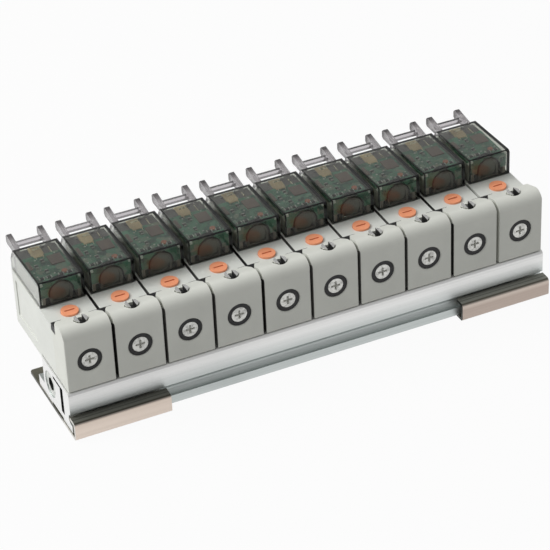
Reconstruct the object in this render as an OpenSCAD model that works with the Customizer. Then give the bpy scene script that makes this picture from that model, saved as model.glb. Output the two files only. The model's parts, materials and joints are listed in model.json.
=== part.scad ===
// Ten-station valve manifold: valve modules on an extruded base, held by two formed brackets.
// Each station is built about its own centre line: x across it, y = 0 on the modules' front
// face and growing to the rear, z = 0 on the surface that the brackets stand on.

/* [Stations] */
// Number of valve stations
station_count = 10; // [2:1:10]
// Distance from one station to the next
pitch = 16; // [15:0.5:22]
// Gap between neighbouring modules
module_gap = 0.9; // [0.6:0.1:1.2]

/* [Base] */
// Height of the extruded base
base_h = 13.6; // [13:0.2:18]
// Depth of the base behind the modules' front face
base_depth = 21.6; // [20:0.2:24]
// How far the base's face stands in front of the modules
base_proud = 0.4; // [0.2:0.1:0.8]
// Radius of the base's upper front edge
base_edge_r = 1.2; // [0.6:0.1:1.6]
// Height of the toe along the base's lower front edge
toe_h = 3; // [2.6:0.1:3.4]
// How far the toe stands out from the base's face
toe_reach = 0.9; // [0.6:0.1:1.2]
// Radius of the cove above the toe
cove_r = 1.75; // [1.6:0.05:1.9]
// Depth of the cove behind the base's face
cove_depth = 1.6; // [1.2:0.1:1.8]
// Height of the cove's middle above the base's underside
cove_up = 4.4; // [4.2:0.1:4.8]
// Height of the angled slot's upper leg
slot_w = 0.9; // [0.5:0.1:1.2]
// Width of the slot's upright leg
slot_leg_w = 2.4; // [1:0.1:2.8]
// Distance of the slot's upright leg behind the modules' front face
slot_back = 4.8; // [4.6:0.1:5.2]
// Length of the slot's upper leg
slot_leg = 8; // [4:0.5:8]
// Wall left above the slot
slot_cover = 1.4; // [1:0.1:1.8]
// Wall left below the slot
slot_foot = 2.8; // [2.4:0.2:5]
// Height of the foot along the base's lower rear edge
rear_foot_h = 3.8; // [2:0.2:5]
// How far the rear foot stands out behind the base
rear_foot_reach = 5; // [3:0.5:5.5]
// Depth of the relief under the base
relief_h = 0.8; // [0.5:0.1:1.2]
// Width of the relief under the base
relief_w = 9; // [6:0.5:10]

/* [Supply port] */
// Radius of the supply port's thread core
port_r = 4.3; // [3.6:0.1:4.4]
// Depth of the port's thread
port_depth = 9; // [6:0.5:12]
// Radius of the gallery that runs from port to port
gallery_r = 2.6; // [2:0.1:3.2]
// Height of the port's axis above the base's underside
port_up = 6.9; // [6.3:0.1:7.3]
// Distance of the port's axis from the base's rear face
port_in = 5.6; // [5.2:0.1:6.4]
// Clearance of the plug in its port
plug_clear = 0.06; // [0.02:0.01:0.1]
// Depth of the plug below the base's end
plug_sunk = 0.3; // [0.2:0.1:1]
// Width across the flats of the plug's hexagon socket
plug_socket = 4; // [3:0.5:5]
// Depth of the plug's hexagon socket
plug_socket_depth = 4; // [3:0.2:5]

/* [Brackets] */
// Thickness of the brackets' sheet
sheet_t = 1; // [0.8:0.1:1.2]
// Length of each bracket along the base
bracket_len = 30.9; // [26:0.1:34]
// How far each bracket stands out past the base's end
bracket_over = 0.2; // [0.1:0.1:1]
// Reach of the brackets' front wall before the modules' front face
wall_reach = 4.2; // [3.8:0.1:5]
// Height of the brackets' front wall
wall_h = 6.4; // [6.2:0.1:7]
// Depth of the lip that hooks over the base's toe
lip_depth = 4; // [3.6:0.1:4.4]
// Inner radius of the sheet's bends
bend_r = 0.2; // [0.2:0.1:0.6]
// Reach of the brackets' plate behind the modules' front face
plate_reach = 34.8; // [34.4:0.2:40]
// Radius of the plate's rear corners
plate_corner_r = 0.4; // [0.3:0.1:1]
// Radius of the mounting hole in each plate
mount_hole_r = 1.7; // [1.6:0.05:1.8]
// Distance of the mounting hole from the plate's rear edge
mount_hole_in = 4.2; // [4:0.1:4.6]
// Radius of the bracket screws' shank
bracket_screw_r = 1.5; // [1.2:0.1:1.6]
// Radius of the bracket screws' countersunk head
bracket_head_r = 2.6; // [2.4:0.1:2.8]
// Length of the bracket screws above the plate
bracket_screw_len = 4.4; // [3.6:0.2:4.8]

/* [Modules] */
// Thickness of the gasket under each module
gasket_t = 0.4; // [0.3:0.05:0.8]
// How far the gasket's edge lies inside the module's outline
gasket_inset = 0.5; // [0.3:0.1:0.8]
// Height of the front block from its foot to its crest
block_h = 21.1; // [20:0.2:26]
// Depth of the front block
block_depth = 9.8; // [9:0.2:12]
// Radius of the front block's crown
crown_r = 3.6; // [2.6:0.1:4]
// How far the crown's arc is trimmed by the faces beside it, which leaves crisp lines there
crown_trim = 0.04; // [0.02:0.01:0.1]
// Fall of the front block's top towards the rear, in degrees
crown_fall = 18; // [6:1:20]
// Bevel along the front block's rear upper edge
block_bevel = 0.25; // [0.2:0.05:0.5]
// Radius of the front block's upright front edges
block_edge_r = 0.4; // [0.3:0.1:1]
// Length of each arm of a lock clip from the middle of its gap
lock_arm = 3.7; // [2:0.1:4]
// Thickness of the lock clips' arms
lock_arm_t = 0.8; // [0.6:0.1:1]
// Half width of a lock clip's pointed head
lock_head = 1.7; // [1.2:0.1:2.2]
// Length of the pointed head
lock_head_len = 3.6; // [2:0.1:4]
// Depth of the clips' recess below the valve body's top
lock_deep = 1.4; // [0.8:0.1:2]
// Height of the lock clips above the recess's floor
lock_h = 2.5; // [1:0.1:2.6]
// Clearance round the lock clips
lock_clear = 0.08; // [0.05:0.01:0.15]
// Height of the valve body's top above its foot
body_h = 17.6; // [16.5:0.1:18.4]
// Reach of the valve body behind the front face
body_reach = 44.9; // [43:0.1:50]
// Bevel along the valve body's front upper edge
body_bevel = 0.8; // [0.4:0.1:1.1]
// Drop of the overhang behind the base
overhang_drop = 1.4; // [0.8:0.1:2]
// Running gap between the overhang and the base
overhang_gap = 0.5; // [0.3:0.1:1]
// Radius of the valve body's upright rear edges
rear_edge_r = 1; // [0.5:0.1:1.5]
// Depth of the shallow panels in the valve body's sides
panel_depth = 0.3; // [0.2:0.05:0.4]

/* [Front screws] */
// Height of the front screw above the module's foot
front_screw_up = 9.4; // [8.6:0.2:11]
// Radius of the front counterbore
counterbore_r = 3.9; // [3.6:0.1:4.2]
// Depth of the front counterbore
counterbore_depth = 2.4; // [2:0.1:2.8]
// Bevel round the front counterbore's mouth
counterbore_bevel = 0.25; // [0.1:0.05:0.4]
// Radius of the front screw's head
front_head_r = 2.5; // [2.3:0.05:2.8]
// Depth of the front screw's head below the face
front_head_sunk = 0.4; // [0.2:0.1:0.6]
// Radius of the front screw's shank
front_shank_r = 1.45; // [1.2:0.05:1.6]
// Clearance round every screw's shank
shank_clear = 0.1; // [0.05:0.05:0.2]
// Reach of the front screw into the valve body
front_grip = 4; // [3:0.5:4]
// Thickness of the seal ring round the front screw
seal_t = 2; // [1.2:0.1:2.1]
// Clearance of the seal ring inside its counterbore
seal_clear = 0.1; // [0.05:0.05:0.2]
// Length of each arm of the cross recess
recess_arm = 1.5; // [1.2:0.1:1.8]
// Width of the cross recess
recess_w = 0.7; // [0.5:0.1:0.9]
// Depth of the cross recess
recess_depth = 1.1; // [0.8:0.1:1.3]

/* [Top screws] */
// Distance of the top screw behind the front face
top_screw_back = 5; // [4.4:0.1:5.6]
// Radius of the pocket round the top screw
top_pocket_r = 2.3; // [2:0.1:2.5]
// Depth of the pocket below the crest
top_pocket_depth = 2.6; // [2:0.1:3]
// Radius of the top screw's head
top_head_r = 2.05; // [1.6:0.05:2.1]
// How far the top screw's head stands above the crest
top_head_proud = 0.3; // [0.1:0.1:0.6]
// Radius of the top screw's shank
top_shank_r = 1.2; // [1:0.05:1.4]
// Length of the top screw's shank
top_shank_len = 3.2; // [2.6:0.2:4]
// Width of the top screw's slot
top_slot_w = 1.9; // [0.8:0.1:2]
// Depth of the top screw's slot
top_slot_depth = 2; // [0.8:0.1:2.2]

/* [Override buttons] */
// Distance of the button behind the front face
button_back = 14.7; // [14.5:0.1:15.5]
// Radius of the button's cap
button_r = 2.7; // [2.4:0.1:3]
// How far the cap stands above the valve body
button_proud = 0.6; // [0.4:0.1:0.8]
// Depth of the cap inside its well
button_sunk = 1.5; // [1.2:0.1:2]
// Running clearance of the cap and of its stem
button_clear = 0.08; // [0.04:0.01:0.1]
// Travel of the button
button_travel = 1.2; // [0.8:0.1:1.4]
// Space left below the pressed button
button_spare = 0.4; // [0.3:0.1:0.6]
// Radius of the button's stem
stem_r = 1.2; // [1:0.1:1.5]
// Length of the button's stem
stem_len = 2.8; // [2:0.2:3]
// Width of the slot in the cap
cap_slot_w = 0.6; // [0.5:0.1:0.8]
// Length of the slot in the cap
cap_slot_len = 3.2; // [2.4:0.2:3.6]
// Depth of the slot in the cap
cap_slot_depth = 0.5; // [0.3:0.1:0.6]

/* [Solenoid covers] */
// Distance of the cover behind the front face
cover_back = 20; // [19.6:0.1:20.6]
// Gap between a cover and the side of its module
cover_inset = 0.35; // [0.2:0.05:0.6]
// Wall of the cover
cover_wall = 0.8; // [0.7:0.1:1]
// Height of the cover at its front
cover_h = 8.6; // [8.4:0.1:12]
// Fall of the cover's top from front to rear
cover_fall = 0.9; // [0.4:0.1:1]
// Bevel along the cover's upper front edge
cover_bevel = 0.7; // [0.4:0.1:1]
// Depth of the sloping rear face of the cover
cover_slope = 2.6; // [2:0.1:3]
// Height of the cover's upright rear face
cover_rear_h = 3.6; // [3:0.1:4.4]
// Thickness of each lug behind the cover
lug_t = 1.6; // [1.1:0.1:1.8]
// Distance from the middle of one lug to the middle of the other
lug_spacing = 10; // [9:0.1:11]
// How far the lugs stand to the left of the cover's middle
lug_shift = 0.4; // [0:0.1:0.8]
// Reach of the lugs behind the cover's rear face
lug_out = 5.9; // [4.5:0.1:8]
// Height of each lug
lug_h = 3.3; // [2.8:0.1:3.6]
// Rise of the lugs' tips above the cover's rear edge
lug_rise = 0.9; // [0.2:0.1:0.9]
// Distance of the cross bar from the lugs' tips
bar_in = 3.9; // [3:0.1:4.2]
// Width of the cross bar
bar_w = 1.7; // [1.3:0.1:2]
// Thickness of the cross bar
bar_t = 1.2; // [1:0.1:1.6]
// Depth of the cross bar below the lugs' tips
bar_down = 1.1; // [0.5:0.1:1.4]

/* [Solenoids] */
// Gap between the valve body's cheeks and the cover
cheek_gap = 0.3; // [0.3:0.05:0.6]
// Thickness of the cheeks
cheek_t = 1; // [0.8:0.1:1.2]
// Height of the cheeks above the valve body's top
cheek_h = 6; // [5.4:0.1:6]
// Distance of the cheeks' ends from the valve body's rear face
cheek_rear_in = 3.2; // [3:0.1:6]
// Distance from the cover's front to the coil pocket
pocket_in = 4.4; // [4.2:0.1:5]
// Depth of the coil pocket below the valve body's top
pocket_deep = 5; // [4.4:0.1:5.6]
// Distance of the pocket's end from the valve body's rear face
pocket_rear_in = 3.5; // [3.2:0.1:6]
// Thickness of the yoke
yoke_t = 1; // [0.8:0.1:1.2]
// Clearance of the yoke in its pocket
yoke_clear = 0.15; // [0.1:0.05:0.25]
// Radius of the bobbin's flanges
flange_r = 4.1; // [3.8:0.05:4.25]
// Thickness of the bobbin's flanges
flange_t = 0.9; // [0.6:0.1:1.2]
// Radius of the bobbin's tube
tube_r = 2.2; // [1.9:0.1:2.4]
// How far the winding lies below the flanges' rim
winding_under = 0.4; // [0.2:0.1:0.6]
// Radius of the core
core_r = 1.5; // [1.2:0.1:1.6]
// Running gap round the core and between coil parts
coil_clear = 0.1; // [0.05:0.05:0.2]
// Thickness of the circuit board
board_t = 0.8; // [0.6:0.1:0.9]
// Distance of the circuit board's end from the valve body's rear face
board_rear_in = 8; // [6:0.5:10]
// Gap between the circuit board and the socket in front of it
board_clear = 0.1; // [0.1:0.05:0.3]
// Radius of the round top of the socket in front of the coil
socket_r = 3.5; // [3:0.1:3.6]
// Wall round the socket's mouth
socket_wall = 0.7; // [0.5:0.1:1]
// Depth of the socket in front of the coil
socket_depth = 1.9; // [1.6:0.1:2.4]
// Depth of the socket's mouth
socket_mouth = 1.2; // [0.8:0.1:1.4]
// Radius of the signal lamp
lamp_r = 0.9; // [0.7:0.1:1]
// Height of the signal lamp
lamp_h = 0.5; // [0.3:0.1:0.5]
// Clearance of the surge disc in the socket's mouth
disc_clear = 0.1; // [0.05:0.05:0.2]
// Thickness of the surge disc
disc_t = 1; // [0.6:0.1:1.2]

/* [Rear connections] */
// Radius of the outlet port's thread core
outlet_r = 2.1; // [1.8:0.05:2.2]
// Depth of the outlet port
outlet_depth = 6; // [5:0.5:8]
// Height of the outlet port above the module's foot
outlet_up = 4.6; // [4:0.2:6]
// Width of the cable socket
plug_hole_w = 8; // [6:0.2:9]
// Height of the cable socket
plug_hole_h = 3.4; // [3:0.1:3.8]
// Depth of the cable socket
plug_hole_depth = 5; // [4:0.2:5.4]
// Height of the cable socket's middle above the module's foot
plug_hole_up = 10.2; // [9.6:0.1:10.4]
// Side of each contact pin
pin_w = 0.64; // [0.5:0.02:0.8]
// Distance between the two contact pins
pin_spacing = 2.54; // [2:0.01:3.6]

/* [Hidden] */
$fn = 64;
module_w = pitch - module_gap;
base_len = station_count * pitch;
base_z = sheet_t;
base_top = base_z + base_h;
foot_z = base_top + gasket_t;
crest_z = foot_z + block_h;
body_top = foot_z + body_h;
port_y = base_depth - port_in;
port_z = base_z + port_up;
front_screw_z = foot_z + front_screw_up;
crown_y = crown_r - crown_trim;
lock_floor = body_top - lock_deep;
crown_run = crown_r * sin(crown_fall);
crown_rise = (crown_r - crown_trim) * cos(crown_fall);
crown_z = crest_z - crown_r;
block_rear_z = crown_z + crown_rise
    - (block_depth - block_bevel - crown_y - crown_run) * tan(crown_fall);
cover_w = module_w - 2 * cover_inset;
cover_rear = body_reach;
lug_reach = body_reach + lug_out;
cover_front_z = body_top + cover_h;
cover_rear_z = cover_front_z - cover_fall;
cheek_out = cover_w / 2 - cover_wall - cheek_gap;
cheek_in = cheek_out - cheek_t;
pocket_y = cover_back + pocket_in;
pocket_len = body_reach - pocket_rear_in - pocket_y;
pocket_floor = body_top - pocket_deep;
cheek_top = body_top + cheek_h;
coil_z = pocket_floor + yoke_t + flange_r + coil_clear;
coil_len = pocket_len - 2 * yoke_clear - 2 * yoke_t - 2 * coil_clear;
yoke_y = pocket_y + yoke_clear;
coil_y = yoke_y + yoke_t + coil_clear;
board_y = cover_back + cover_wall + cheek_gap;
board_front = board_y + socket_depth + board_clear;
cheek_len = body_reach - cheek_rear_in - board_y;
board_len = body_reach - board_rear_in - board_front;
bracket_x = base_len / 2 + bracket_over - bracket_len / 2;
// Shift that puts the middle of the whole object over the origin
face_y = (wall_reach - lug_reach) / 2;
eps = 0.01;
function station_x(i) = (i - (station_count + 1) / 2) * pitch;
STATIONS = [1:station_count];
function each_station(name) = [for (i = STATIONS) str(name, "_", i)];

// Extrudes an outline drawn in (y, z) along x, centred on x = 0
module along_x(length) {
    rotate([90, 0, 90]) linear_extrude(length, center = true) children();
}

// Puts a child built about the middle of the base in its place
module placed() {
    translate([0, face_y, 0]) children();
}

// Puts a child built about a station's own centre line in its place
module at_station(i) {
    placed() translate([station_x(i), 0, 0]) children();
}

module at_all_stations() {
    for (i = STATIONS) at_station(i) children();
}

// Cylinder along y that starts at the given depth behind the front face
module along_y(r, from, length) {
    translate([0, from, 0]) rotate([-90, 0, 0]) cylinder(r = r, h = length);
}

module base_outline() {
    difference() {
        union() {
            translate([-base_proud, base_z]) square([base_proud + base_depth, base_h - base_edge_r]);
            translate([-base_proud + base_edge_r, base_z])
                square([base_proud + base_depth - base_edge_r, base_h]);
            translate([-base_proud + base_edge_r, base_top - base_edge_r]) circle(r = base_edge_r);
            translate([-base_proud - toe_reach, base_z]) square([toe_reach + eps, toe_h]);
            translate([base_depth - eps, base_z]) square([rear_foot_reach + eps, rear_foot_h]);
        }
        translate([-base_proud + cove_depth - cove_r, base_z + cove_up]) circle(r = cove_r);
        translate([slot_back, base_top - slot_cover - slot_w]) square([slot_leg, slot_w]);
        translate([slot_back, base_z + slot_foot])
            square([slot_leg_w, base_h - slot_cover - slot_foot]);
        translate([(base_depth - relief_w) / 2, base_z - eps]) square([relief_w, relief_h + eps]);
    }
}

module bracket_screw_places() {
    for (side = [-1, 1])
        placed() translate([side * bracket_x, base_depth / 2, 0]) children();
}

// Puts a child in the middle of one end of the base, with z growing into the base
module at_port(side) {
    placed() translate([side * base_len / 2, port_y, port_z]) rotate([0, -side * 90, 0]) children();
}

module manifold_base() {
    color([0.80, 0.81, 0.82]) difference() {
        placed() along_x(base_len) base_outline();
        at_port(-1) cylinder(r = gallery_r, h = base_len);
        for (side = [-1, 1])
            at_port(side) translate([0, 0, -eps]) cylinder(r = port_r, h = port_depth + eps);
        bracket_screw_places()
            translate([0, 0, base_z - eps])
                cylinder(r = bracket_screw_r + shank_clear, h = bracket_screw_len + 0.4);
    }
}

module port_plug() {
    color([0.72, 0.75, 0.70])
        at_port(-1) translate([0, 0, plug_sunk]) difference() {
            cylinder(r = port_r - plug_clear, h = port_depth - plug_sunk - plug_clear);
            translate([0, 0, -eps])
                cylinder(d = plug_socket / cos(30), h = plug_socket_depth + eps, $fn = 6);
        }
}

// Formed sheet in outline: plate, bend, front wall, bend and lip
module bracket_outline() {
    outer_r = bend_r + sheet_t;
    difference() {
        union() {
            translate([outer_r, 0]) square([wall_reach + plate_reach - outer_r, sheet_t]);
            translate([0, outer_r]) square([sheet_t, wall_h - 2 * outer_r]);
            translate([outer_r, wall_h - sheet_t]) square([lip_depth - outer_r, sheet_t]);
            for (up = [outer_r, wall_h - outer_r])
                intersection() {
                    translate([outer_r, up]) circle(r = outer_r);
                    translate([0, up < wall_h / 2 ? 0 : up]) square([outer_r, outer_r]);
                }
        }
        for (up = [outer_r, wall_h - outer_r])
            translate([outer_r, up]) circle(r = bend_r);
    }
}

// A bracket about its own middle, with the modules' front face at y = 0
module bracket() {
    hole_y = plate_reach - mount_hole_in;
    color([0.66, 0.57, 0.50]) difference() {
        translate([0, -wall_reach, 0]) along_x(bracket_len) bracket_outline();
        translate([0, hole_y, -eps]) cylinder(r = mount_hole_r, h = sheet_t + 2 * eps);
        translate([0, base_depth / 2, -eps])
            cylinder(r1 = bracket_head_r + eps, r2 = bracket_screw_r + shank_clear,
                     h = sheet_t + 2 * eps);
        for (side = [-1, 1])
            translate([side * bracket_len / 2, plate_reach, -eps]) rotate(45)
                translate([-plate_corner_r, -plate_corner_r])
                    cube([2 * plate_corner_r, 2 * plate_corner_r, 2 * sheet_t]);
    }
}

module bracket_left() {
    placed() translate([-bracket_x, 0, 0]) bracket();
}

module bracket_right() {
    placed() translate([bracket_x, 0, 0]) bracket();
}

module bracket_screws() {
    color([0.62, 0.62, 0.60]) bracket_screw_places() {
        cylinder(r1 = bracket_head_r, r2 = bracket_screw_r, h = sheet_t);
        translate([0, 0, sheet_t - eps]) cylinder(r = bracket_screw_r, h = bracket_screw_len + eps);
    }
}

module module_gaskets() {
    wide = module_w - 2 * gasket_inset;
    color([0.16, 0.16, 0.16]) at_all_stations() translate([-wide / 2, gasket_inset, base_top])
        cube([wide, base_depth - 2 * gasket_inset, gasket_t]);
}

// Plan of a lock clip about the middle of its gap: two arms along the seam between block and
// body and a head that points to the front, drawn in by the same gap all round
module lock_plan(gap) {
    slant = sqrt(pow(lock_head, 2) + pow(lock_head_len, 2));
    arm = lock_arm - gap;
    head = lock_head - gap * slant / lock_head_len;
    tip = block_depth - lock_head_len + gap * slant / lock_head;
    near = block_depth + gap;
    far = block_depth + lock_arm_t - gap;
    polygon([
        [-arm, far], [-arm, near], [-head, near], [0, tip], [head, near], [arm, near], [arm, far]]);
}

// Recess for a lock clip on one side of a module
module lock_recess(side) {
    translate([side * pitch / 2, 0, lock_floor]) linear_extrude(block_h) lock_plan(0);
}

// Each module has a recess on both sides, but the last one has none on its free side
module lock_recesses(i) {
    for (side = i == station_count ? [-1] : [-1, 1]) lock_recess(side);
}

// Clip that keys a module to its left neighbour; at the row's left end only half of it is needed
module lock_clip(i) {
    translate([-pitch / 2, 0, lock_floor]) intersection() {
        linear_extrude(lock_h) lock_plan(lock_clear);
        translate([i == 1 ? module_gap / 2 + lock_clear : -pitch / 2, 0, -eps])
            cube([pitch, pitch, lock_h + 2 * eps]);
    }
}

module lock_clips() {
    color([0.06, 0.06, 0.06]) for (i = STATIONS) at_station(i) lock_clip(i);
}

// What the crown's arc cuts from the block's upper front corner
module crown_corner() {
    difference() {
        translate([-1, crown_z]) square([1 + crown_y + crown_run, crown_r + 1]);
        translate([crown_y, crown_z]) circle(r = crown_r);
    }
}

module block_outline() {
    rear = block_depth - block_bevel;
    crown_end = crown_y + crown_run;
    difference() {
        polygon([
            [0, foot_z], [0, crest_z + eps], [crown_end, crest_z + eps],
            [crown_end, crown_z + crown_rise], [rear, block_rear_z],
            [block_depth, block_rear_z - block_bevel], [block_depth, foot_z]]);
        crown_corner();
    }
}

// Plan of the front block with its two front edges rounded
module block_plan() {
    half = module_w / 2;
    translate([-half, block_edge_r]) square([module_w, block_depth - block_edge_r]);
    translate([-half + block_edge_r, 0]) square([module_w - 2 * block_edge_r, block_depth]);
    for (side = [-1, 1])
        translate([side * (half - block_edge_r), block_edge_r]) circle(r = block_edge_r);
}

module front_block(i) {
    color([0.60, 0.61, 0.58]) difference() {
        intersection() {
            along_x(module_w) block_outline();
            translate([0, 0, foot_z]) linear_extrude(block_h + eps) block_plan();
        }
        lock_recesses(i);
        translate([0, 0, front_screw_z]) {
            along_y(counterbore_r, -eps, counterbore_depth + eps);
            translate([0, -eps, 0]) rotate([-90, 0, 0])
                cylinder(r1 = counterbore_r + counterbore_bevel + eps, r2 = counterbore_r,
                         h = counterbore_bevel + eps);
            along_y(front_shank_r + shank_clear, 0, block_depth + eps);
        }
        translate([0, top_screw_back, crest_z - top_pocket_depth]) {
            cylinder(r = top_pocket_r, h = top_pocket_depth + 1);
            translate([0, 0, -top_shank_len - 2 * shank_clear])
                cylinder(r = top_shank_r + shank_clear, h = block_h / 4);
        }
    }
}

module front_screw() {
    head_len = counterbore_depth - front_head_sunk;
    translate([0, 0, front_screw_z]) difference() {
        union() {
            along_y(front_head_r, front_head_sunk, head_len);
            along_y(front_shank_r, counterbore_depth - eps,
                    block_depth - counterbore_depth + front_grip);
        }
        for (turn = [0, 90]) rotate([0, turn, 0])
            translate([-recess_arm, front_head_sunk - eps, -recess_w / 2])
                cube([2 * recess_arm, recess_depth + eps, recess_w]);
    }
}

module front_screws() {
    color([0.74, 0.74, 0.71]) at_all_stations() front_screw();
}

module seal_rings() {
    color([0.07, 0.07, 0.07]) at_all_stations() translate([0, 0, front_screw_z]) difference() {
        along_y(counterbore_r - seal_clear, counterbore_depth - seal_t, seal_t);
        along_y(front_head_r + seal_clear, counterbore_depth - seal_t - eps, seal_t + 2 * eps);
    }
}

module top_screw() {
    head_h = top_pocket_depth + top_head_proud;
    translate([0, top_screw_back, crest_z - top_pocket_depth]) difference() {
        union() {
            cylinder(r = top_head_r, h = head_h);
            translate([0, 0, -top_shank_len]) cylinder(r = top_shank_r, h = top_shank_len + eps);
        }
        translate([-top_slot_w / 2, -top_head_r - eps, head_h - top_slot_depth])
            cube([top_slot_w, 2 * top_head_r + 2 * eps, top_slot_depth + eps]);
    }
}

module top_screws() {
    color([0.78, 0.78, 0.76]) at_all_stations() top_screw();
}

module body_outline() {
    step_y = base_depth + overhang_gap;
    polygon([
        [block_depth, foot_z], [step_y, foot_z], [step_y, foot_z - overhang_drop],
        [body_reach, foot_z - overhang_drop], [body_reach, body_top],
        [block_depth + body_bevel, body_top], [block_depth, body_top - body_bevel]]);
}

// Plan of the valve body with its two rear edges rounded
module body_plan() {
    half = module_w / 2;
    long = body_reach - block_depth;
    translate([-half, block_depth]) square([module_w, long - rear_edge_r]);
    translate([-half + rear_edge_r, block_depth]) square([module_w - 2 * rear_edge_r, long]);
    for (side = [-1, 1])
        translate([side * (half - rear_edge_r), body_reach - rear_edge_r]) circle(r = rear_edge_r);
}

// Shallow panel in each side, below the cover
module side_panels() {
    panel_y = cover_back + cover_wall + pocket_in;
    margin = 2.4;
    for (side = [-1, 1])
        translate([side * module_w / 2 - panel_depth, panel_y, foot_z + margin])
            cube([2 * panel_depth, body_reach - rear_edge_r - margin - panel_y, body_h - 2 * margin]);
}

// Two cheeks that carry the circuit board inside the cover
module cheeks() {
    for (side = [-1, 1])
        translate([side * (cheek_in + cheek_t / 2) - cheek_t / 2, board_y, body_top - eps])
            cube([cheek_t, cheek_len, cheek_h + eps]);
}

module valve_body(i) {
    color([0.80, 0.82, 0.79]) difference() {
        union() {
            intersection() {
                along_x(module_w) body_outline();
                translate([0, 0, foot_z - overhang_drop])
                    linear_extrude(body_h + overhang_drop + eps) body_plan();
            }
            cheeks();
        }
        lock_recesses(i);
        side_panels();
        translate([-cheek_in, pocket_y, pocket_floor])
            cube([2 * cheek_in, pocket_len, pocket_deep + cheek_h + 1]);
        translate([0, 0, front_screw_z])
            along_y(front_shank_r + shank_clear, block_depth - eps, front_grip + 0.5);
        button_well();
        translate([0, 0, foot_z + outlet_up])
            along_y(outlet_r, body_reach - outlet_depth, outlet_depth + eps);
        translate([-plug_hole_w / 2, body_reach - plug_hole_depth,
                   foot_z + plug_hole_up - plug_hole_h / 2])
            cube([plug_hole_w, plug_hole_depth + eps, plug_hole_h]);
    }
}

module button_well() {
    room = button_travel + button_spare;
    translate([0, button_back, body_top]) {
        translate([0, 0, -button_sunk - room])
            cylinder(r = button_r + button_clear, h = button_sunk + room + eps);
        translate([0, 0, -button_sunk - stem_len - room])
            cylinder(r = stem_r + button_clear, h = stem_len + room);
    }
}

module override_button() {
    color([0.93, 0.42, 0.16]) translate([0, button_back, body_top]) difference() {
        union() {
            translate([0, 0, -button_sunk]) cylinder(r = button_r, h = button_sunk + button_proud);
            translate([0, 0, -button_sunk - stem_len]) cylinder(r = stem_r, h = stem_len + eps);
        }
        translate([-cap_slot_len / 2, -cap_slot_w / 2, button_proud - cap_slot_depth])
            cube([cap_slot_len, cap_slot_w, cap_slot_depth + eps]);
    }
}

// Outline of the cover in (y, z), drawn in from the outer one by the same amount all round
module cover_outline(inset, floor_z) {
    tilt = atan(cover_fall / (cover_rear - cover_back));
    top_in = inset / cos(tilt);
    top_rear = cover_rear - cover_slope;
    slope_rise = cover_rear_z - body_top - cover_rear_h;
    slope_in = inset * (sqrt(pow(cover_slope, 2) + pow(slope_rise, 2)) - cover_slope) / slope_rise;
    bevel_in = inset * 0.41;
    polygon([
        [cover_back + inset, floor_z],
        [cover_back + inset, cover_front_z - cover_bevel - bevel_in],
        [cover_back + cover_bevel + bevel_in, cover_front_z - top_in],
        [top_rear - slope_in, cover_rear_z - top_in],
        [cover_rear - inset, body_top + cover_rear_h - inset * 0.4],
        [cover_rear - inset, floor_z]]);
}

module lug_outline() {
    tip_z = cover_rear_z + lug_rise;
    root = cover_rear - cover_slope;
    polygon([
        [root - 0.6, cover_rear_z - 0.2], [lug_reach - 0.8, tip_z], [lug_reach, tip_z - 0.8],
        [lug_reach, tip_z - lug_h + 0.6], [lug_reach - 0.6, tip_z - lug_h],
        [cover_rear - 0.6, tip_z - lug_h], [root - 0.2, cover_rear_z - 1.2]]);
}

module solenoid_cover() {
    color([0.30, 0.34, 0.32, 0.6]) {
        difference() {
            along_x(cover_w) cover_outline(0, body_top);
            along_x(cover_w - 2 * cover_wall) cover_outline(cover_wall, body_top - eps);
        }
        translate([-lug_shift, 0, 0]) {
            for (side = [-1, 1])
                translate([side * lug_spacing / 2, 0, 0]) along_x(lug_t) lug_outline();
            translate([-lug_spacing / 2, lug_reach - bar_in - bar_w,
                       cover_rear_z + lug_rise - bar_t - bar_down])
                cube([lug_spacing, bar_w, bar_t]);
        }
    }
}

module coil_yokes() {
    wide = 2 * (cheek_in - yoke_clear);
    long = pocket_len - 2 * yoke_clear;
    tall = coil_z - pocket_floor + core_r + yoke_t;
    color([0.55, 0.56, 0.56]) at_all_stations() difference() {
        translate([-wide / 2, yoke_y, pocket_floor]) cube([wide, long, tall]);
        translate([-wide / 2 - eps, yoke_y + yoke_t, pocket_floor + yoke_t])
            cube([wide + 2 * eps, long - 2 * yoke_t, tall]);
        translate([0, 0, coil_z]) along_y(core_r + coil_clear, yoke_y - eps, long + 2 * eps);
    }
}

module coil_bobbins() {
    color([0.20, 0.19, 0.18]) at_all_stations() translate([0, 0, coil_z]) difference() {
        union() {
            along_y(tube_r, coil_y, coil_len);
            along_y(flange_r, coil_y, flange_t);
            along_y(flange_r, coil_y + coil_len - flange_t, flange_t);
        }
        along_y(core_r + coil_clear, coil_y - eps, coil_len + 2 * eps);
    }
}

module coil_windings() {
    long = coil_len - 2 * flange_t;
    color([0.62, 0.42, 0.24]) at_all_stations() translate([0, 0, coil_z]) difference() {
        along_y(flange_r - winding_under, coil_y + flange_t, long);
        along_y(tube_r, coil_y + flange_t - eps, long + 2 * eps);
    }
}

module coil_cores() {
    color([0.60, 0.61, 0.62]) at_all_stations() translate([0, 0, coil_z])
        along_y(core_r, yoke_y, pocket_len - 2 * yoke_clear);
}

module circuit_boards() {
    wide = 2 * cheek_out;
    color([0.10, 0.34, 0.22]) at_all_stations()
        translate([-wide / 2, board_front, cheek_top]) cube([wide, board_len, board_t]);
}

// Outline of a round-topped piece that stands on the valve body
module arch_outline(r) {
    translate([-r, 0]) square([2 * r, socket_r]);
    translate([0, socket_r]) circle(r = r);
}

// Extrudes an outline drawn in (x, z) along y from the given depth behind the front face
module upright(from, length) {
    translate([0, from + length, body_top]) rotate([90, 0, 0]) linear_extrude(length) children();
}

module board_sockets() {
    color([0.17, 0.12, 0.10]) at_all_stations() difference() {
        upright(board_y, socket_depth) arch_outline(socket_r);
        upright(board_y - eps, socket_mouth + eps)
            translate([0, socket_wall]) arch_mouth();
    }
}

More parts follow.
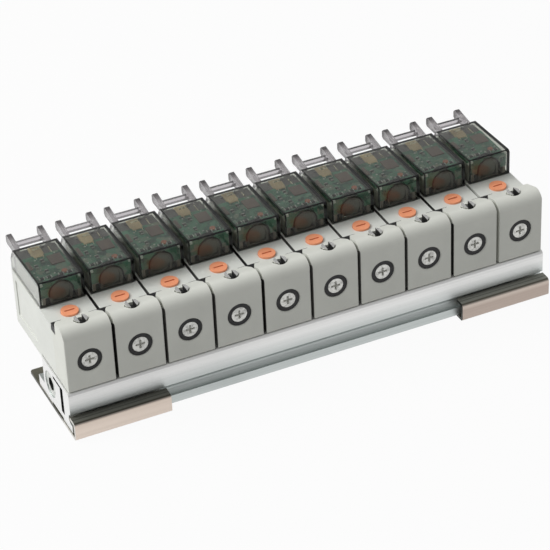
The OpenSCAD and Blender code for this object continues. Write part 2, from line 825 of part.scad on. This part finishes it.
// Mouth of the socket, inside its wall
module arch_mouth() {
    r = socket_r - socket_wall;
    translate([-r, 0]) square([2 * r, socket_r - socket_wall]);
    translate([0, socket_r - socket_wall]) circle(r = r);
}

module signal_lamps() {
    lamp_in = 2;
    color([0.85, 0.30, 0.20]) at_all_stations()
        translate([cheek_out / 2, board_front + lamp_in, cheek_top + board_t])
            cylinder(r = lamp_r, h = lamp_h);
}

// Round part that takes up switching surges, set in the socket's mouth
module surge_discs() {
    r = socket_r - socket_wall - disc_clear;
    color([0.26, 0.22, 0.20]) at_all_stations()
        translate([0, 0, body_top + socket_r])
            along_y(r, board_y + socket_mouth - disc_t, disc_t);
}

module contact_pins() {
    grip = 1;
    color([0.80, 0.72, 0.45]) at_all_stations() for (side = [-1, 1])
        translate([side * pin_spacing / 2 - pin_w / 2, body_reach - plug_hole_depth,
                   foot_z + plug_hole_up - pin_w / 2])
            cube([pin_w, plug_hole_depth - grip, pin_w]);
}

manifold_base();
bracket_left();
bracket_right();
bracket_screws();
port_plug();
module_gaskets();
front_screws();
seal_rings();
top_screws();
coil_yokes();
coil_bobbins();
coil_windings();
coil_cores();
circuit_boards();
board_sockets();
signal_lamps();
surge_discs();
contact_pins();
lock_clips();
for (i = STATIONS) {
    at_station(i) valve_body(i);
    at_station(i) front_block(i);
    at_station(i) override_button();
    at_station(i) solenoid_cover();
}
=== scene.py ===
"""Looks of the ten-station valve manifold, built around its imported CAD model."""

import json
import math

import bmesh
import bpy
from mathutils import Matrix, Vector


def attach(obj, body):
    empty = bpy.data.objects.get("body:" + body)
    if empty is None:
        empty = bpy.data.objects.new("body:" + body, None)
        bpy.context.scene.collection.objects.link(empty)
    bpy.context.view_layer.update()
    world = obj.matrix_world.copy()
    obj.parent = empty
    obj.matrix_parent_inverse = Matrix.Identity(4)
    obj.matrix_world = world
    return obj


MM = 0.001
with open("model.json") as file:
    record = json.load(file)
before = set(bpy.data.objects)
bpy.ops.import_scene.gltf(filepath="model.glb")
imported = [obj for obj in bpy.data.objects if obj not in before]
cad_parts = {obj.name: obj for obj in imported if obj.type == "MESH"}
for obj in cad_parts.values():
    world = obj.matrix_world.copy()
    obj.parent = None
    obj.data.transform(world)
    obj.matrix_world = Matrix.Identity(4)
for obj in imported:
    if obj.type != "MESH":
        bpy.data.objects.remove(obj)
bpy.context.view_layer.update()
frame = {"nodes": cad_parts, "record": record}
nodes = frame["nodes"]

STATIONS = range(1, 11)
PITCH = 16.0
FACE_Y = -23.3    # front faces of the modules
BODY_TOP = 32.6   # top of the valve bodies, under the covers
BOARD_Z = 39.4    # top of the circuit boards
PLATE_Y = 20.98   # thin plate close behind a cover's front
ARCH_Z = 36.1     # middle of the board socket's arch
SCREW_Z = 24.4    # front screws
PORT_Y, PORT_Z = 16.0, 7.9

# gaps between stations, all built alike: near-black painted shade, no paint, and grey painted shade
# for the rest
DARK_SHADE_GAPS = (1, 4, 8)
UNSHADED_GAPS = (0, 9, 10)


def station_x(i):
    """Middle of a station along the row, in millimetres."""
    return (i - 5.5) * PITCH


# ---------------------------------------------------------------- finishes
class Finish:
    """A material with a Principled shader, and short calls that add its nodes."""

    def __init__(self, name, color, roughness, metallic=0.0):
        self.material = bpy.data.materials.new(name)
        self.material.use_nodes = True
        self.tree = self.material.node_tree
        self.shader = self.tree.nodes["Principled BSDF"]
        self.shader.inputs["Base Color"].default_value = (*color, 1)
        self.shader.inputs["Roughness"].default_value = roughness
        self.shader.inputs["Metallic"].default_value = metallic
        self.coords = self.tree.nodes.new("ShaderNodeTexCoord")

    def set(self, **values):
        for name, value in values.items():
            self.shader.inputs[name.replace("_", " ")].default_value = value
        return self

    def link(self, out, into):
        self.tree.links.new(out, into)

    def mapped(self, scale):
        node = self.tree.nodes.new("ShaderNodeMapping")
        node.inputs["Scale"].default_value = scale
        self.link(self.coords.outputs["Object"], node.inputs["Vector"])
        return node.outputs["Vector"]

    def noise(self, scale, detail=3.0, roughness=0.5, stretch=None):
        node = self.tree.nodes.new("ShaderNodeTexNoise")
        node.inputs["Scale"].default_value = scale
        node.inputs["Detail"].default_value = detail
        node.inputs["Roughness"].default_value = roughness
        vector = self.mapped(stretch) if stretch else self.coords.outputs["Object"]
        self.link(vector, node.inputs["Vector"])
        return node.outputs["Fac"]

    def cells(self, scale):
        node = self.tree.nodes.new("ShaderNodeTexVoronoi")
        node.distance = "CHEBYCHEV"
        node.inputs["Scale"].default_value = scale
        self.link(self.coords.outputs["Object"], node.inputs["Vector"])
        split = self.tree.nodes.new("ShaderNodeSeparateColor")
        self.link(node.outputs["Color"], split.inputs[0])
        return split.outputs["Red"]

    def ramp(self, fac, stops):
        node = self.tree.nodes.new("ShaderNodeValToRGB")
        ramp = node.color_ramp
        while len(ramp.elements) < len(stops):
            ramp.elements.new(0.5)
        for element, (place, color) in zip(ramp.elements, stops):
            element.position = place
            element.color = (*color, 1) if len(color) == 3 else color
        self.link(fac, node.inputs["Fac"])
        return node.outputs["Color"]

    def spread(self, fac, low, high, from_low=0.3, from_high=0.7):
        node = self.tree.nodes.new("ShaderNodeMapRange")
        for name, value in (("From Min", from_low), ("From Max", from_high),
                            ("To Min", low), ("To Max", high)):
            node.inputs[name].default_value = value
        self.link(fac, node.inputs["Value"])
        return node.outputs["Result"]

    def facing(self, axis, low, high):
        """0 to 1 as a surface turns towards one axis of the object."""
        geometry = self.tree.nodes.new("ShaderNodeNewGeometry")
        split = self.tree.nodes.new("ShaderNodeSeparateXYZ")
        self.link(geometry.outputs["Normal"], split.inputs[0])
        return self.spread(split.outputs[axis], 0.0, 1.0, low, high)

    def place(self, axis, low, high):
        """0 to 1 along one axis of the object, from low to high in millimetres."""
        split = self.tree.nodes.new("ShaderNodeSeparateXYZ")
        self.link(self.coords.outputs["Object"], split.inputs[0])
        return self.spread(split.outputs[axis], 0.0, 1.0, low * MM, high * MM)

    def blend(self, fac, first, second):
        node = self.tree.nodes.new("ShaderNodeMix")
        node.data_type = "RGBA"
        if isinstance(fac, float):
            node.inputs["Factor"].default_value = fac
        else:
            self.link(fac, node.inputs["Factor"])
        for value, socket in ((first, node.inputs["A"]), (second, node.inputs["B"])):
            if isinstance(value, tuple):
                socket.default_value = (*value, 1)
            else:
                self.link(value, socket)
        return node.outputs["Result"]

    def times(self, first, second):
        out = self.blend(1.0, first, second)
        out.node.blend_type = "MULTIPLY"
        return out

    def bump(self, height, strength, distance):
        node = self.tree.nodes.new("ShaderNodeBump")
        node.inputs["Strength"].default_value = strength
        node.inputs["Distance"].default_value = distance
        self.link(height, node.inputs["Height"])
        last = self.shader.inputs["Normal"]
        if last.is_linked:
            self.link(last.links[0].from_socket, node.inputs["Normal"])
        self.link(node.outputs["Normal"], last)

    def color(self, out):
        self.link(out, self.shader.inputs["Base Color"])

    def rough(self, out):
        self.link(out, self.shader.inputs["Roughness"])


def shade(color, factor):
    return tuple(min(1.0, c * factor) for c in color)


def moulded(name, color, roughness, grain=0.15, cloudy=0.05):
    """Moulded plastic: faint clouding, fine spark-eroded grain, uneven gloss."""
    f = Finish(name, color, roughness)
    cloud = f.noise(90, 5, 0.6)
    f.color(f.ramp(cloud, [(0.3, shade(color, 1 - cloudy)), (0.7, shade(color, 1 + cloudy * 0.6))]))
    f.rough(f.spread(f.noise(900, 2), roughness - 0.06, roughness + 0.08))
    f.bump(f.noise(2600, 3, 0.6), grain, 0.00003)
    return f


def drawn_metal(name, color, roughness, grain=(3, 500, 500), streak=0.06):
    """Metal with fine lines along X from drawing, rolling or brushing."""
    f = Finish(name, color, roughness, 1.0)
    lines = f.noise(1, 4, 0.6, grain)
    f.color(f.ramp(lines, [(0.3, shade(color, 1 - streak)), (0.7, shade(color, 1 + streak / 2))]))
    f.rough(f.spread(lines, roughness - 0.07, roughness + 0.09))
    f.bump(lines, 0.12, 0.00002)
    return f


def extruded_aluminium_painted_shade():
    """Satin anodised extrusion: long fine die lines and a dull sheen, with painted shade that makes
    the front darker and bluer below 7 to 12 mm.
    """
    f = Finish("extruded_aluminium_painted_shade", (0.84, 0.84, 0.83), 0.42, 0.8)
    lines = f.noise(1, 6, 0.7, (1.5, 520, 520))
    upper = f.ramp(lines, [(0.3, (0.72, 0.72, 0.71)), (0.5, (0.86, 0.86, 0.85)),
                           (0.7, (0.94, 0.94, 0.93))])
    # painted shade: a darker, bluer copy of the metal for the bottom of the front; faces turned to
    # -X keep the plain colour
    painted_shade_low_band = f.ramp(lines, [(0.3, (0.50, 0.54, 0.53)), (0.7, (0.66, 0.70, 0.69))])
    front = f.blend(f.place("Z", 7.0, 12.0), painted_shade_low_band, upper)
    f.color(f.blend(f.facing("X", -0.6, -0.9), front, (0.84, 0.84, 0.83)))
    f.rough(f.spread(lines, 0.34, 0.52))
    f.bump(lines, 0.3, 0.00003)
    return f


def passivated_sheet_painted_light():
    """Zinc plated sheet with painted light: the front wall runs from pink to brown along X with a
    painted highlight along its top, faces turned up are dark olive with painted shade and painted
    reflection stripes, and the cut ends carry painted light and shade.
    """
    f = Finish("passivated_sheet_painted_light", (0.55, 0.42, 0.34), 0.36, 0.6)
    lines = f.noise(1, 4, 0.6, (4, 300, 300))
    cloud = f.noise(1, 3, 0.5, (20, 260, 260))
    # painted light: pink at the left end of the row, brown at the right end
    along = f.place("X", -50, 50)
    pink = f.ramp(lines, [(0.25, (0.76, 0.64, 0.55)), (0.75, (0.96, 0.84, 0.74))])
    brown = f.ramp(lines, [(0.25, (0.48, 0.39, 0.335)), (0.75, (0.68, 0.57, 0.50))])
    # painted highlight: the top of the wall, along the bend, is lighter
    brown = f.blend(f.place("Z", 4.2, 6.0), brown, (0.78, 0.68, 0.60))
    warm = f.blend(along, pink, brown)
    # painted shade: the bottom plate under the lip is near black
    plate = f.ramp(cloud, [(0.3, (0.10, 0.10, 0.075)), (0.7, (0.20, 0.19, 0.145))])
    # painted reflection: the lip's top is darker at the left end, with light and dark bands across
    # Y
    lip = f.blend(along, (0.17, 0.17, 0.145), (0.33, 0.33, 0.29))
    reflection_stripes = f.ramp(f.place("Y", -27.5, -23.5), [
        (0.0, (0.35, 0.33, 0.30)), (0.16, (0.35, 0.33, 0.30)), (0.24, (1, 1, 1)),
        (0.44, (1, 1, 1)), (0.52, (0.4, 0.4, 0.4)), (0.60, (1, 1, 1))])
    lip = f.times(lip, reflection_stripes)
    olive = f.blend(f.place("Z", 3.0, 5.0), plate, lip)
    upper = f.blend(f.facing("Z", 0.35, 0.75), warm, olive)
    # painted light and shade on the ends facing -X: light at the front of the left bracket, near
    # black everywhere else
    cut = f.blend(f.place("Y", -13.0, -18.0), (0.04, 0.04, 0.03), (0.62, 0.60, 0.56))
    cut = f.blend(f.place("X", -60, -40), cut, (0.02, 0.02, 0.015))
    f.color(f.blend(f.facing("X", -0.5, -0.9), upper, cut))
    f.rough(f.spread(lines, 0.30, 0.46))
    f.bump(lines, 0.2, 0.00003)
    return f


def screw_metal(name, color, roughness, stains=0.55):
    """Plated screw: fine turning marks, small stains."""
    f = Finish(name, color, roughness, 1.0)
    stain = f.noise(900, 4, 0.7)
    f.color(f.ramp(stain, [(0.32, shade(color, stains)), (0.6, color)]))
    f.rough(f.spread(stain, roughness - 0.05, roughness + 0.15))
    f.bump(f.noise(1500, 3), 0.3, 0.00004)
    return f


def circuit_board():
    """Solder mask over copper: patches and tracks show through as lighter green."""
    f = Finish("solder_mask", (0.05, 0.17, 0.11), 0.3)
    tracks = f.cells(520)
    green = f.ramp(tracks, [(0.0, (0.035, 0.09, 0.065)), (0.45, (0.06, 0.19, 0.12)),
                            (0.8, (0.10, 0.28, 0.19)), (1.0, (0.22, 0.24, 0.19))])
    f.color(green)
    f.bump(tracks, 0.3, 0.00003)
    return f


def smoked_plastic(name, color, roughness):
    """Smoked clear plastic, tinted at its faces so that thick edges stay light."""
    f = Finish(name, color, roughness)
    f.set(Transmission_Weight=1.0, IOR=1.28, Coat_Weight=0.5, Coat_IOR=1.4, Coat_Roughness=0.12)
    f.bump(f.noise(150, 2), 0.05, 0.0002)
    return f


finishes = {
    "base_metal": extruded_aluminium_painted_shade(),
    "plated_sheet": passivated_sheet_painted_light(),
    "screw_steel": screw_metal("plated_screw", (0.72, 0.72, 0.69), 0.42, 0.45),
    "plug_metal": screw_metal("plug_metal", (0.80, 0.82, 0.78), 0.42),
    "black_rubber": moulded("black_rubber", (0.010, 0.010, 0.011), 0.6),
    "yoke_steel": drawn_metal("yoke_metal", (0.42, 0.42, 0.40), 0.4),
    "dark_plastic": moulded("dark_brown_plastic", (0.17, 0.16, 0.145), 0.45, cloudy=0.2),
    "copper_wire": drawn_metal("enamelled_winding", (0.62, 0.40, 0.20), 0.32, (500, 6, 6), 0.25),
    "board_green": circuit_board(),
    "black_plastic": moulded("black_plastic", (0.010, 0.010, 0.011), 0.5),
    "disc_coating": moulded("disc_coating", (0.19, 0.20, 0.185), 0.55, cloudy=0.25),
    "lamp_red": moulded("lamp_lens", (0.55, 0.22, 0.15), 0.15),
    "pin_brass": drawn_metal("contact_metal", (0.80, 0.66, 0.32), 0.28),
    "body_plastic": moulded("light_grey_plastic", (0.70, 0.715, 0.67), 0.5),
    "block_plastic": moulded("grey_plastic", (0.68, 0.69, 0.635), 0.5),
    "button_orange": moulded("orange_plastic", (0.93, 0.36, 0.19), 0.35),
    "smoked_cover": smoked_plastic("smoked_clear_plastic", (0.69, 0.705, 0.66), 0.05),
}
smoked_lug = smoked_plastic("smoked_lug_plastic", (0.30, 0.285, 0.29), 0.2)
smoked_lug.bump(smoked_lug.noise(900, 3), 0.5, 0.0002)
smoked_lug.color(smoked_lug.blend(smoked_lug.place("Y", 25.6, 27.4),
                                  (0.33, 0.315, 0.32), (0.08, 0.072, 0.075)))
smoked_bar = smoked_plastic("smoked_bar_plastic", (0.56, 0.54, 0.555), 0.15)
# painted light: pale opaque paint on the covers' bottom faces, so the clear walls read light down
# to the body
cover_foot_painted_light = moulded("cover_foot_painted_light_plastic", (0.62, 0.64, 0.60), 0.4)
bright_screw = screw_metal("bright_screw", (0.86, 0.86, 0.84), 0.2, 0.8)
# painted shade: near black for the insides of slots, sockets and pockets
painted_shade_recess = moulded("painted_shade_recess", (0.012, 0.012, 0.012), 0.55)
# painted shade for the side faces inside the gaps between stations: near black and grey
dark_gap_shade = moulded("dark_gap_shade_plastic", (0.04, 0.04, 0.038), 0.6)
grey_gap_shade = moulded("grey_gap_shade_plastic", (0.15, 0.15, 0.14), 0.6)
# painted light: pale paint that softens the shade in the front screws' cross recesses
recess_painted_light = moulded("recess_painted_light", (0.75, 0.75, 0.71), 0.5)
# painted shade: a dark copy of the button orange
button_slot_shade_orange = moulded("button_slot_shade_orange", (0.30, 0.06, 0.025), 0.5)


def board_front():
    """Green above and dark brown below, as the front of the coil's board."""
    f = circuit_board()
    f.material.name = "board_front"
    green = f.shader.inputs["Base Color"].links[0].from_socket
    brown = f.ramp(f.noise(300, 3), [(0.3, (0.20, 0.17, 0.15)), (0.7, (0.36, 0.31, 0.27))])
    f.color(f.blend(f.place("Z", 35.2, 35.6), brown, green))
    return f


front_green = board_front()

for part in frame["record"]["subparts"]:
    mesh = nodes[part["node"]].data
    mesh.materials.clear()
    mesh.materials.append(finishes[part["material_slot"]].material)


def paint(node, finish, inside):
    """Gives a second finish to the faces of a node whose middle passes the test."""
    mesh = nodes[node].data
    mesh.materials.append(finish.material)
    place = len(mesh.materials) - 1
    for face in mesh.polygons:
        x, y, z = face.center / MM
        near = min(STATIONS, key=lambda i: abs(x - station_x(i)))
        if inside(x - station_x(near), y - FACE_Y, z, face.normal):
            face.material_index = place


nodes["top_screws"].data.materials[0] = bright_screw.material
# painted shade in the top screws' slots
paint("top_screws", painted_shade_recess, lambda x, y, z, n: abs(x) < 0.97 and z < 36.35)
# painted shade in the base's long slot
paint("manifold_base", painted_shade_recess,
      lambda x, y, z, n: (4.7 < y < 7.3 and 3.7 < z < 13.3) or (4.7 < y < 12.9 and 12.2 < z < 13.3))
# painted shade in the plug's socket
paint("port_plug", painted_shade_recess, lambda x, y, z, n: math.hypot(y - PORT_Y, z - PORT_Z) < 2.2)
# painted light in the front screws' cross recesses
paint("front_screws", recess_painted_light, lambda x, y, z, n: y > 0.44 and math.hypot(x, z - SCREW_Z) < 1.9)
for i in STATIONS:
    body, front = f"valve_body_{i}", f"front_block_{i}"
    paint(body, front_green, lambda x, y, z, n: z > 32.65 and y > 20.5 and (
        n.y < -0.5 or n.x * x < 0))
    # painted shade in the coil pocket under each cover
    paint(body, painted_shade_recess,
          lambda x, y, z, n: abs(x) < 5.15 and 24.3 < y < 41.45 and 27.5 < z < 32.55)
    cover = f"solenoid_cover_{i}"
    paint(cover, smoked_lug, lambda x, y, z, n: y > 43.5 and z > 37 and (
        -6.3 < x < -4.5 or 3.7 < x < 5.5) and not (n.y > 0.5 and n.z > 0.3))
    paint(cover, smoked_bar, lambda x, y, z, n: y > 44.95 and z > 36.3 and -4.3 < x < 3.5)
    # painted light on the covers' bottom faces
    paint(cover, cover_foot_painted_light, lambda x, y, z, n: z < 32.65 and n.z < -0.9)
    # painted shade on the side faces inside the gaps between stations
    for gap, side in ((i - 1, -1), (i, 1)):
        if gap not in UNSHADED_GAPS:
            finish = dark_gap_shade if gap in DARK_SHADE_GAPS else grey_gap_shade
            for node in (body, front):
                paint(node, finish, lambda x, y, z, n: z < BODY_TOP + 0.1 and (
                    n.x * side > 0.9 and x * side > 7.3))
    # painted shade on the upward faces between 32.0 and 33.15 mm of each override button
    paint(f"override_button_{i}", button_slot_shade_orange, lambda x, y, z, n: 32.0 < z < 33.15 and n.z > 0.9)


# ---------------------------------------------------------------- pieces inside the covers
def block(bm, low, high, edge=0.1):
    """A solid with rounded edges between two corners, in millimetres."""
    verts = bmesh.ops.create_cube(bm, size=1)["verts"]
    low, high = Vector(low), Vector(high)
    bmesh.ops.scale(bm, vec=high - low, verts=verts)
    bmesh.ops.translate(bm, vec=(low + high) / 2, verts=verts)
    edges = list({e for v in verts for e in v.link_edges})
    bmesh.ops.bevel(bm, geom=edges, offset=edge, offset_type="OFFSET", affect="EDGES",
                    segments=2, profile=0.5, material=-1)


def dome(bm, x, y, z, r, h):
    """A round bead of solder or glue that stands on a surface."""
    verts = bmesh.ops.create_icosphere(bm, subdivisions=2, radius=1)["verts"]
    bmesh.ops.scale(bm, vec=(r, r, h), verts=verts)
    bmesh.ops.translate(bm, vec=(x, y, z), verts=verts)


def rod(bm, start, end, r):
    """A round wire between two points."""
    start, end = Vector(start), Vector(end)
    turn = (end - start).to_track_quat("Z", "Y").to_matrix().to_4x4()
    bmesh.ops.create_cone(bm, cap_ends=True, segments=10, radius1=r, radius2=r,
                          depth=(end - start).length,
                          matrix=Matrix.Translation((start + end) / 2) @ turn)


def at_all_stations(name, finish, build):
    """One piece that holds the same shape at every station, riding on the manifold."""
    one = bmesh.new()
    build(one)
    pattern = bpy.data.meshes.new(name + "_one")
    one.to_mesh(pattern)
    one.free()
    bm = bmesh.new()
    for i in STATIONS:
        before = len(bm.verts)
        bm.from_mesh(pattern)
        bm.verts.ensure_lookup_table()
        bmesh.ops.translate(bm, vec=(station_x(i), FACE_Y, 0), verts=bm.verts[before:])
    bpy.data.meshes.remove(pattern)
    bmesh.ops.scale(bm, vec=(MM, MM, MM), verts=bm.verts)
    bmesh.ops.recalc_face_normals(bm, faces=bm.faces)
    mesh = bpy.data.meshes.new(name)
    bm.to_mesh(mesh)
    bm.free()
    for face in mesh.polygons:
        face.use_smooth = False
    mesh.materials.append(finish.material)
    obj = bpy.data.objects.new(name, mesh)
    bpy.context.scene.collection.objects.link(obj)
    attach(obj, "manifold")
    return obj


def switching_chip(bm):
    block(bm, (0.9, 29.8, BOARD_Z - 0.02), (5.2, 35.0, BOARD_Z + 0.36), 0.12)
    block(bm, (-6.0, 30.0, BOARD_Z - 0.02), (-4.9, 34.6, BOARD_Z + 0.36), 0.12)


def resistor_bodies(bm):
    for x in (-4.5, -2.2, 1.6, 4.3):
        block(bm, (x - 0.55, 23.7, BOARD_Z - 0.02), (x + 0.55, 24.7, BOARD_Z + 0.42), 0.06)
    for x, y in ((-3.6, 31.0), (-1.6, 27.4), (-0.9, 33.2)):
        block(bm, (x - 0.5, y - 0.55, BOARD_Z - 0.02), (x + 0.5, y + 0.55, BOARD_Z + 0.36), 0.06)


def resistor_ends(bm):
    for x in (-4.5, -2.2, 1.6, 4.3):
        for side in (-1, 1):
            at = x + side * 0.72
            block(bm, (at - 0.2, 23.68, BOARD_Z - 0.02), (at + 0.2, 24.72, BOARD_Z + 0.44), 0.06)
    for x, y in ((-3.6, 31.0), (-1.6, 27.4), (-0.9, 33.2)):
        for side in (-1, 1):
            at = y + side * 0.7
            block(bm, (x - 0.52, at - 0.2, BOARD_Z - 0.02),
                  (x + 0.52, at + 0.2, BOARD_Z + 0.38), 0.06)


def solder_beads(bm):
    for x, y, r in ((-5.2, 25.9, 0.35), (-5.3, 28.3, 0.3), (-3.2, 29.0, 0.3), (0.1, 25.6, 0.35),
                    (-0.2, 30.1, 0.28), (5.3, 26.2, 0.3), (-2.8, 34.6, 0.35), (3.9, 36.1, 0.3)):
        dome(bm, x, y, BOARD_Z - 0.02, r, 0.22)
    dome(bm, 4.2, 22.95, 37.8, 0.5, 0.5)


def lead_tape(bm):
    block(bm, (-2.8, 37.1, 37.2), (1.2, 42.0, 39.42), 0.35)
    block(bm, (-2.6, 35.6, BOARD_Z - 0.02), (0.6, 37.6, BOARD_Z + 0.28), 0.12)


def lead_wires(bm):
    block(bm, (-1.6, 39.8, 39.35), (1.0, 40.7, 39.55), 0.08)
    rod(bm, (-2.1, 34.8, BOARD_Z + 0.12), (-1.9, 37.4, 39.55), 0.12)
    rod(bm, (0.2, 34.6, BOARD_Z + 0.12), (0.2, 37.4, 39.55), 0.12)
    rod(bm, (3.4, 36.6, 39.3), (3.6, 40.6, 39.0), 0.2)


def coil_ends(bm):
    """Dark frame at the rear of the coil, up to the cover's rear slope."""
    block(bm, (-6.2, 37.0, 38.65), (6.2, 42.0, 39.1), 0.15)
    block(bm, (-5.0, 37.0, 37.0), (5.0, 42.4, 38.7), 0.2)
    block(bm, (-6.2, 41.8, 32.8), (6.2, 43.4, 37.4), 0.3)
    block(bm, (-3.6, 39.7, 39.0), (-2.9, 40.9, 39.5), 0.12)
    block(bm, (1.5, 40.6, 39.0), (2.3, 41.8, 39.45), 0.12)


def front_plate(bm):
    """Green plate close behind the cover's front, open round the socket's arch."""
    first = bmesh.ops.create_vert(bm, co=(3.6, PLATE_Y, ARCH_Z))["vert"]
    arch = bmesh.ops.spin(bm, geom=first, cent=(0, PLATE_Y, ARCH_Z), axis=(0, 1, 0), angle=-math.pi,
                          steps=18, use_duplicate=False)
    ring = [first[0]]
    while True:
        more = [e.other_vert(ring[-1]) for e in ring[-1].link_edges]
        more = [v for v in more if v not in ring]
        if not more:
            break
        ring.append(more[0])
    for corner in ((-3.6, 35.4), (-6.3, 35.4), (-6.3, 40.12),
                   (6.3, 40.12), (6.3, 35.4), (3.6, 35.4)):
        ring.append(bmesh.ops.create_vert(bm, co=(corner[0], PLATE_Y, corner[1]))["vert"][0])
        bm.edges.new(ring[-2:])
    bm.edges.new((ring[-1], ring[0]))
    edges = list({e for v in ring for e in v.link_edges})
    sheet = bmesh.ops.contextual_create(bm, geom=edges)["faces"]
    sheet = bmesh.ops.triangulate(bm, faces=sheet)["faces"]
    push = bmesh.ops.extrude_face_region(bm, geom=sheet)["geom"]
    far = [v for v in push if isinstance(v, bmesh.types.BMVert)]
    bmesh.ops.translate(bm, vec=(0, 0.1, 0), verts=far)
    dome(bm, 4.9, PLATE_Y, 38.4, 0.3, 0.3)


def socket_rim(bm):
    """Black rims that stand round the front and the back of the board socket's arch."""
    for middle, depth, r, half in ((22.7, 0.3, 3.86, 0.28), (20.92, 0.045, 3.82, 0.26)):
        profile = bmesh.ops.create_grid(bm, x_segments=1, y_segments=1, size=1)["verts"]
        bmesh.ops.scale(bm, vec=(half, depth, 1), verts=profile)
        bmesh.ops.translate(bm, vec=(r, middle, ARCH_Z), verts=profile)
        faces = list({f for v in profile for f in v.link_faces})
        edges = list({e for v in profile for e in v.link_edges})
        bmesh.ops.spin(bm, geom=profile + edges + faces, cent=(0, middle, ARCH_Z), axis=(0, 1, 0),
                       angle=-math.pi, steps=18, use_duplicate=False)
        for side in (-1, 1):
            block(bm, (side * r - half, middle - depth, 35.0),
                  (side * r + half, middle + depth, 36.15), 0.03)


# pale tabs in the covers' top front corners, standing in for the glints there: painted highlights
def corner_highlight_tabs(bm):
    block(bm, (-6.35, 20.85, 39.5), (-5.5, 21.6, 40.2), 0.15)
    block(bm, (5.7, 20.85, 39.7), (6.35, 21.3, 40.2), 0.15)


def cover_seat(bm):
    """Flat seal frame between the cover and the valve body, open over the coil."""
    for low, high in (((-6.35, 20.85, 32.6), (6.35, 24.35, 32.78)),
                      ((-6.35, 41.5, 32.6), (6.35, 44.0, 32.78)),
                      ((-6.35, 24.35, 32.6), (-6.12, 41.5, 32.78)),
                      ((6.12, 24.35, 32.6), (6.35, 41.5, 32.78))):
        block(bm, low, high, 0.05)


frame_plastic = moulded("coil_frame_plastic", (0.17, 0.16, 0.165), 0.45, cloudy=0.2)
chip_case = moulded("chip_case", (0.20, 0.145, 0.125), 0.4, cloudy=0.15)
resistor_case = moulded("resistor_case", (0.025, 0.024, 0.022), 0.35)
solder = screw_metal("solder", (0.62, 0.64, 0.60), 0.3, 0.6)
tape = moulded("lead_tape", (0.62, 0.49, 0.31), 0.4, cloudy=0.3)
tinned_wire = screw_metal("tinned_wire", (0.86, 0.80, 0.62), 0.25, 0.7)
# painted highlight: pale plastic for the corner tabs inside the covers
highlight_tab = moulded("highlight_tab_plastic", (0.66, 0.72, 0.68), 0.4)
seat_rubber = moulded("seat_rubber", (0.09, 0.082, 0.078), 0.55, cloudy=0.2)

at_all_stations("switching_chips", chip_case, switching_chip)
at_all_stations("resistor_bodies", resistor_case, resistor_bodies)
at_all_stations("resistor_ends", solder, resistor_ends)
at_all_stations("solder_beads", solder, solder_beads)
at_all_stations("lead_tapes", tape, lead_tape)
at_all_stations("lead_wires", tinned_wire, lead_wires)
at_all_stations("coil_ends", frame_plastic, coil_ends)
at_all_stations("front_plates", front_green, front_plate)
at_all_stations("socket_rims", finishes["black_rubber"], socket_rim)
at_all_stations("corner_highlight_tabs", highlight_tab, corner_highlight_tabs)
at_all_stations("cover_seats", seat_rubber, cover_seat)


# ---------------------------------------------------------------- stage
CAMERA_AT = Vector((-0.25309, -0.57664, 0.44311))
CAMERA_AHEAD = Vector((0.33090, 0.75946, -0.56011))
CAMERA_UP = Vector((0.26705, 0.49392, 0.82749))
LENS = 160.36


def pale(name):
    """White to the camera, in mirrors and through clear plastic; dull grey to soft light."""
    material = bpy.data.materials.new(name)
    material.use_nodes = True
    tree = material.node_tree
    tree.nodes.remove(tree.nodes["Principled BSDF"])
    path = tree.nodes.new("ShaderNodeLightPath")
    diffuse = tree.nodes.new("ShaderNodeBsdfDiffuse")
    diffuse.inputs["Color"].default_value = (0.5, 0.5, 0.5, 1)
    glow = tree.nodes.new("ShaderNodeEmission")
    glow.inputs["Strength"].default_value = 1.0
    mix = tree.nodes.new("ShaderNodeMixShader")
    mirror = tree.nodes.new("ShaderNodeMath")
    mirror.operation = "MAXIMUM"
    tree.links.new(path.outputs["Is Glossy Ray"], mirror.inputs[0])
    tree.links.new(path.outputs["Is Transmission Ray"], mirror.inputs[1])
    seen = tree.nodes.new("ShaderNodeMath")
    seen.operation = "MULTIPLY_ADD"
    seen.inputs[1].default_value = 0.95
    tree.links.new(path.outputs["Is Camera Ray"], seen.inputs[0])
    tree.links.new(mirror.outputs[0], seen.inputs[2])
    tree.links.new(seen.outputs[0], mix.inputs["Fac"])
    tree.links.new(diffuse.outputs[0], mix.inputs[1])
    tree.links.new(glow.outputs[0], mix.inputs[2])
    tree.links.new(mix.outputs[0], tree.nodes["Material Output"].inputs["Surface"])
    return material


def plane(name, size, at, material):
    bm = bmesh.new()
    bmesh.ops.create_grid(bm, x_segments=1, y_segments=1, size=size)
    bmesh.ops.translate(bm, verts=bm.verts, vec=at)
    mesh = bpy.data.meshes.new(name)
    bm.to_mesh(mesh)
    bm.free()
    mesh.materials.append(material)
    obj = bpy.data.objects.new(name, mesh)
    bpy.context.scene.collection.objects.link(obj)
    return obj


plane("floor", 6.0, (0, 0, 0), pale("pale_floor"))

scene = bpy.context.scene
world = bpy.data.worlds.new("studio")
scene.world = world
world.use_nodes = True
background = world.node_tree.nodes["Background"]
background.inputs["Color"].default_value = (1, 1, 1, 1)
background.inputs["Strength"].default_value = 0.48


def softbox(name, at, size, power):
    light = bpy.data.lights.new(name, "AREA")
    light.shape = "RECTANGLE"
    light.size, light.size_y = size
    light.energy = power
    obj = bpy.data.objects.new(name, light)
    obj.location = at
    obj.rotation_euler = (-Vector(at)).to_track_quat("-Z", "Y").to_euler()
    scene.collection.objects.link(obj)
    return obj


softbox("key", (-1.05, 0.5, 1.05), (0.8, 0.8), 19)

camera_data = bpy.data.cameras.new("camera")
camera_data.sensor_width = 36
camera_data.lens = LENS
camera_data.clip_start = 0.05
camera_data.clip_end = 50
camera = bpy.data.objects.new("camera", camera_data)
scene.collection.objects.link(camera)
back = -CAMERA_AHEAD.normalized()
right = CAMERA_UP.cross(back).normalized()
up = back.cross(right)
camera.matrix_world = Matrix.Translation(CAMERA_AT) @ Matrix(
    (right, up, back)).transposed().to_4x4()
scene.camera = camera
scene.view_settings.view_transform = "Standard"
